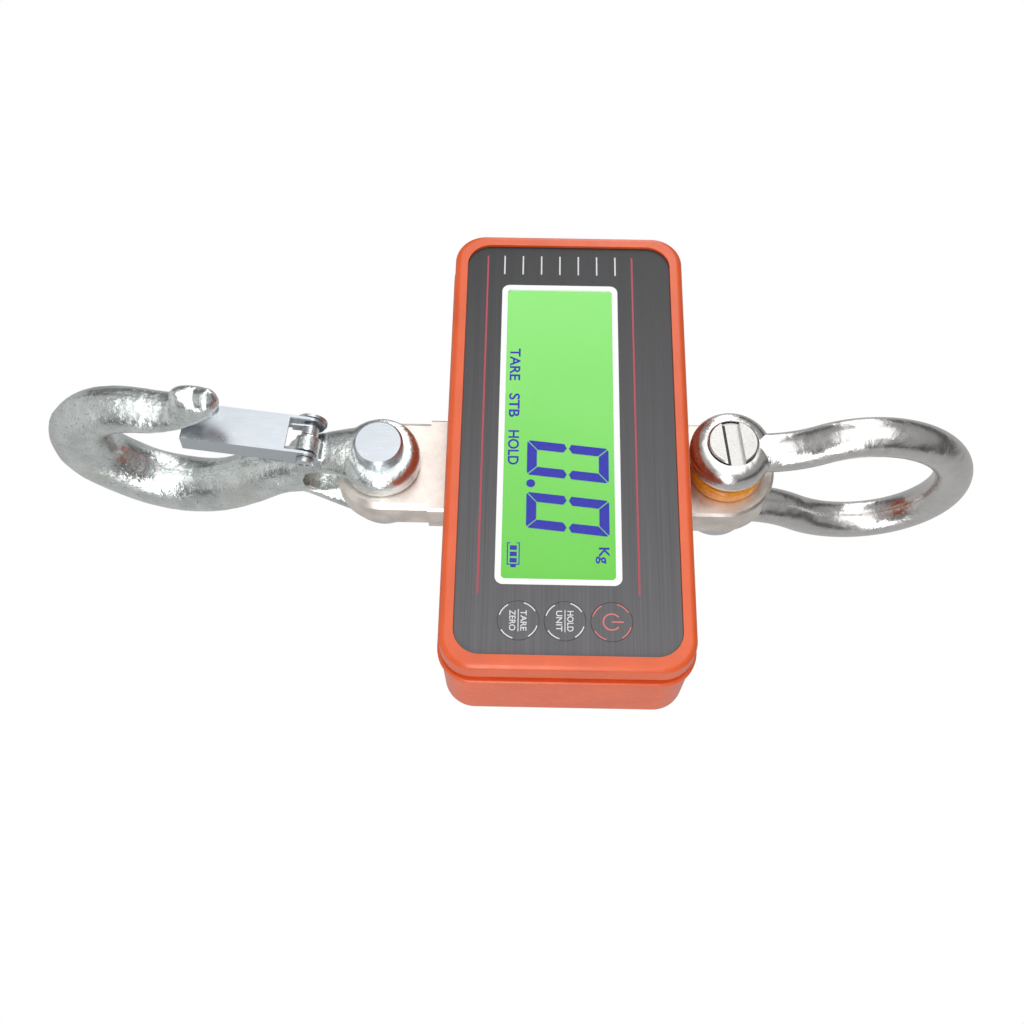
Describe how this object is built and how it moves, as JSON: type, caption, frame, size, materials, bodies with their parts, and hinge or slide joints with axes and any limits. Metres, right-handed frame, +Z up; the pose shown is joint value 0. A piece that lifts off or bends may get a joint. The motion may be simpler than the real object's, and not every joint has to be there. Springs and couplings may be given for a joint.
{
  "type": "digital hanging scale",
  "caption": "Digital hanging scale: orange metal housing with a wide display and flat keys, a bow shackle above, and a clevis hook with a spring latch below.",
  "frame": {"origin": "the hang point: the inside of the shackle's crown, on the load line, midway through the load-cell bar", "axes": "+Z up the load line towards the shackle; the display faces -Y; +X to the right of a person who reads the display"},
  "size_m": [0.1688, 0.083, 0.3304],
  "materials": {
    "polished_steel": "polished stainless steel, softly mirror-like",
    "pin_steel": "turned stainless steel with a satin face",
    "amber_plastic": "translucent amber polyurethane",
    "nickel_plate": "warm satin nickel plating",
    "sealant": "white silicone",
    "cable_jacket": "matte black jacket",
    "orange_paint": "semi-gloss orange paint, slight orange peel",
    "black_rubber": "matte black rubber",
    "label_film": "satin silver film with dark print",
    "overlay_print": "anthracite print with a brushed look",
    "white_border": "white",
    "clear_window": "clear",
    "display_glass": "green display with dark blue segments",
    "light_guide": "frosted light guide",
    "contact_metal": "plated contact metal",
    "board_green": "green solder mask",
    "zinc_screw": "bright zinc plating",
    "black_plastic": "matte black",
    "battery_wrap": "printed foil sleeve",
    "forged_zinc": "bright zinc over a forged skin, with dark flecks",
    "zinc_sheet": "bright zinc-plated sheet"
  },
  "bodies": {
    "shackle": {"shackle_bow": "polished_steel", "shackle_pin": "pin_steel"},
    "hook": {"hook": "forged_zinc", "clevis_pin": "zinc_sheet", "clevis_cotter": "zinc_screw", "latch_pin": "zinc_screw", "latch_spring": "zinc_screw"},
    "latch": {"latch": "zinc_sheet"},
    "key_tare": {"key_tare": "overlay_print"},
    "key_hold": {"key_hold": "overlay_print"},
    "key_power": {"key_power": "overlay_print"},
    "scale_body": {"spacer_washer_front": "amber_plastic", "spacer_washer_rear": "amber_plastic", "load_cell": "nickel_plate", "gauge_potting": "sealant", "gauge_lead": "cable_jacket", "front_lid": "orange_paint", "rear_shell": "orange_paint", "lid_gasket": "black_rubber", "cell_seals": "black_rubber", "rear_label": "label_film", "overlay_panel": "overlay_print", "lcd_bezel": "white_border", "lcd_window": "clear_window", "lcd_glass": "display_glass", "lcd_backlight": "light_guide", "lcd_pins": "contact_metal", "main_board": "board_green", "board_screws": "zinc_screw", "tact_switches": "black_plastic", "board_chips": "black_plastic", "buzzer": "black_plastic", "lead_plug": "sealant", "battery_holder": "black_plastic", "batteries": "battery_wrap", "battery_contacts": "contact_metal", "battery_door": "orange_paint", "door_gasket": "black_rubber", "door_screws": "zinc_screw", "lid_screws": "zinc_screw", "cell_bolts": "zinc_screw"}
  },
  "joints": [
    {"name": "shackle_swing", "type": "hinge", "parent": "shackle", "child": "scale_body", "pos_m": [0, 0, -0.0746], "axis": [0, 1, 0], "range_deg": [-90, 90]},
    {"name": "hook_swing", "type": "hinge", "parent": "scale_body", "child": "hook", "pos_m": [0, 0, -0.1964], "axis": [0, 1, 0], "range_deg": [-95, 85]},
    {"name": "latch_open", "type": "hinge", "parent": "hook", "child": "latch", "pos_m": [-0.00222, -0.0176, -0.2213], "axis": [0.996, 0, -0.0889], "range_deg": [0, 35], "stiffness_Nm_per_rad": 0.02, "springref_deg": -20.05, "deforming": ["latch_spring"]},
    {"name": "key_tare_press", "type": "slide", "parent": "scale_body", "child": "key_tare", "axis": [0, 1, 0], "range_m": [0, 0.0004], "stiffness_N_per_m": 400, "springref_m": -0.0002},
    {"name": "key_hold_press", "type": "slide", "parent": "scale_body", "child": "key_hold", "axis": [0, 1, 0], "range_m": [0, 0.0004], "stiffness_N_per_m": 400, "springref_m": -0.0002},
    {"name": "key_power_press", "type": "slide", "parent": "scale_body", "child": "key_power", "axis": [0, 1, 0], "range_m": [0, 0.0004], "stiffness_N_per_m": 400, "springref_m": -0.0002}
  ]
}
